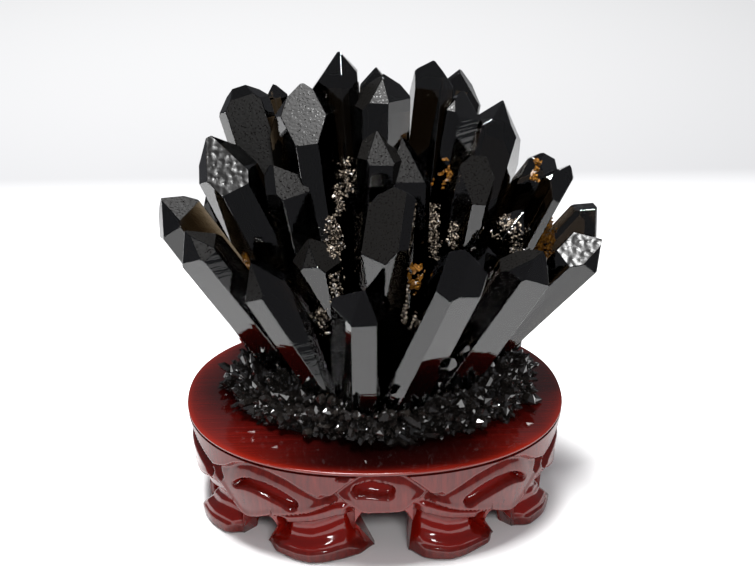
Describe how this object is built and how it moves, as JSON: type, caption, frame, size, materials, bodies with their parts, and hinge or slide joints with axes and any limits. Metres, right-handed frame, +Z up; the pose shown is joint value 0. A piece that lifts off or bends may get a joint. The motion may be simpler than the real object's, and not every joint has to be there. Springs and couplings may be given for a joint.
{
  "type": "smoky quartz crystal cluster on a carved stand",
  "caption": "Dark, nearly black quartz crystals radiating from a rough druse crust, resting on a carved and lacquered oval wooden display stand with scroll feet.",
  "frame": {"origin": "on the table, at the middle of the whole object's footprint box, 2 mm right of and 1 mm behind the middle of the oval board", "axes": "+X is the viewer's right along the oval's length, +Y points away from the viewer, +Z up"},
  "size_m": [0.1818, 0.1322, 0.189],
  "materials": {
    "smoky_quartz": "gloss",
    "lacquered_board": "gloss",
    "lacquered_skirt": "gloss"
  },
  "bodies": {
    "root": {"quartz_cluster": "smoky_quartz", "stand_board": "lacquered_board", "stand_skirt": "lacquered_skirt"}
  },
  "joints": []
}
